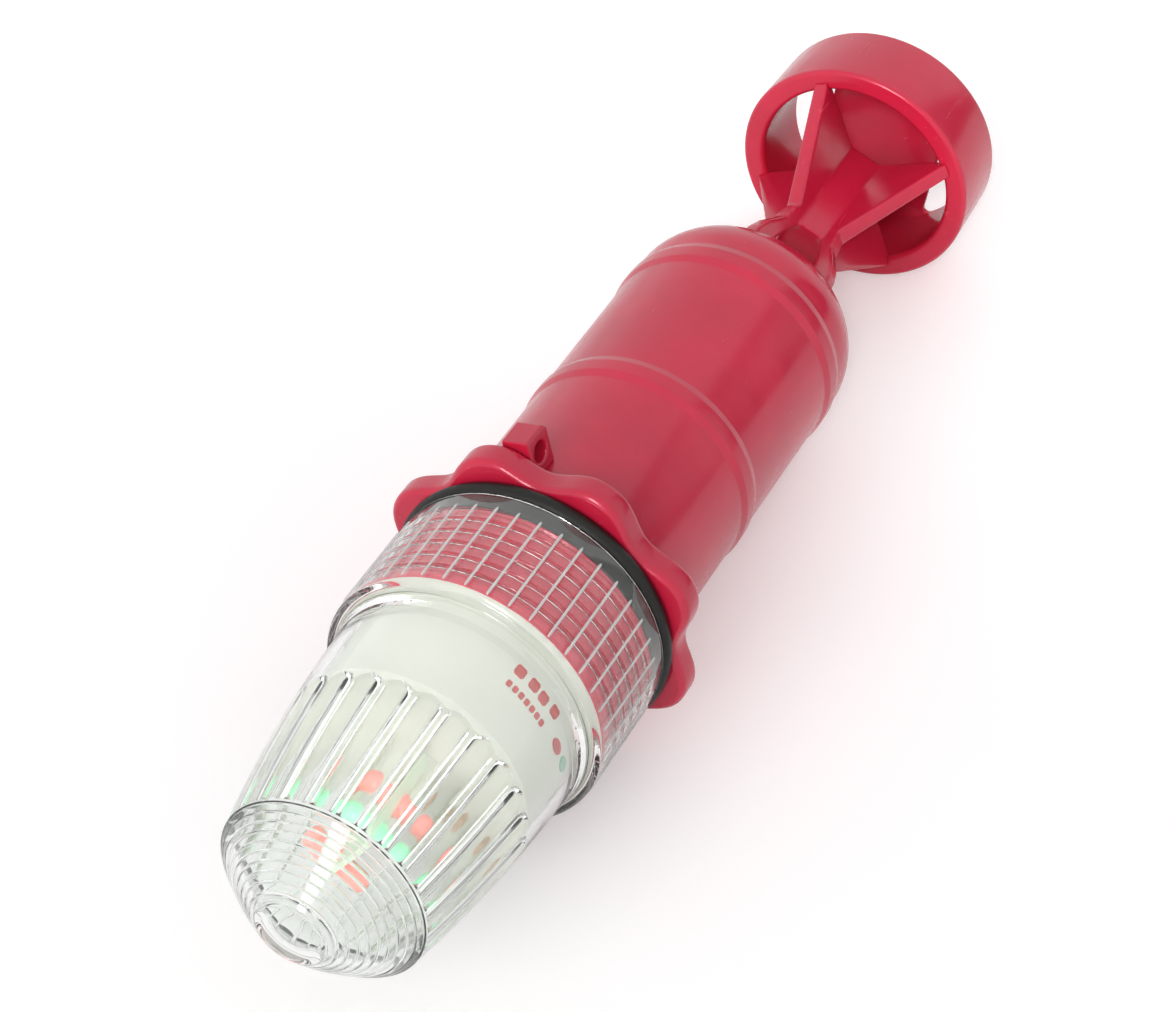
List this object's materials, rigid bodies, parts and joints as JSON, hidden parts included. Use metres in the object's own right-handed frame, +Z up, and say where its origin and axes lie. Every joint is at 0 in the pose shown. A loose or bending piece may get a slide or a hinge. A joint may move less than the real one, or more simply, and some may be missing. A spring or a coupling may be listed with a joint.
{
  "type": "marker light",
  "caption": "Battery marker light: red tubular body with lobed flange and ribbed tail ring, clear fluted screw-on lens over a white LED module.",
  "frame": {"origin": "on the light's axis, on the flat rear face of the strap across the tail ring", "axes": "+Y along the axis out of the tail ring, lens towards -Y; +Z up as the light lies, through a notch of the flange"},
  "size_m": [0.0714, 0.301, 0.0733],
  "materials": {
    "red_shell": "glossy moulded crimson plastic",
    "black_rubber": "smooth black rubber",
    "contact_metal": "plain brass",
    "steel": "nickel-plated steel",
    "cell_jacket": "plain printed cell jacket",
    "white_plastic": "matt white plastic",
    "green_board": "circuit board with green mask",
    "coil_copper": "varnished copper winding",
    "capacitor_sleeve": "shrunk sleeve",
    "chip_black": "moulded epoxy",
    "resistor_tan": "small chip resistor",
    "led_red": "tinted clear epoxy",
    "led_green": "tinted clear epoxy",
    "sensor_face": "light-sensitive disc under clear lacquer",
    "clear_lens": "clear moulded plastic with flutes, ribs and stepped rings"
  },
  "bodies": {
    "housing": {"body_shell": "red_shell", "neck_flange": "red_shell", "rope_lug": "red_shell", "tail_yoke": "red_shell", "tail_ring": "red_shell", "tail_strap": "red_shell", "o_ring": "black_rubber", "negative_strip": "contact_metal", "spring_plate": "steel", "battery_spring": "steel", "rear_cell": "cell_jacket", "rear_cell_cap": "steel", "front_cell": "cell_jacket", "front_cell_cap": "steel"},
    "light_module": {"module_cup": "white_plastic", "driver_board": "green_board", "positive_contact": "contact_metal", "negative_ring": "contact_metal", "board_screws": "steel", "power_coil": "coil_copper", "storage_capacitor": "capacitor_sleeve", "driver_chip": "chip_black", "resistors": "resistor_tan", "header_pins": "contact_metal", "board_socket": "white_plastic", "upright_board": "green_board", "red_leds": "led_red", "green_leds": "led_green", "light_sensor": "sensor_face"},
    "lens_cap": {"lens": "clear_lens"}
  },
  "joints": [
    {"name": "module_lift", "type": "slide", "parent": "housing", "child": "light_module", "axis": [0, -1, 0], "range_m": [0, 0.024]},
    {"name": "lens_turn", "type": "hinge", "parent": "light_module", "child": "lens_cap", "pos_m": [0, -0.2546, 0], "axis": [0, -1, 0], "range_deg": [0, 2160]}
  ],
  "couplings": [
    {"joint": "module_lift", "follows": "lens_turn", "m_per_rad": 0.000636}
  ]
}
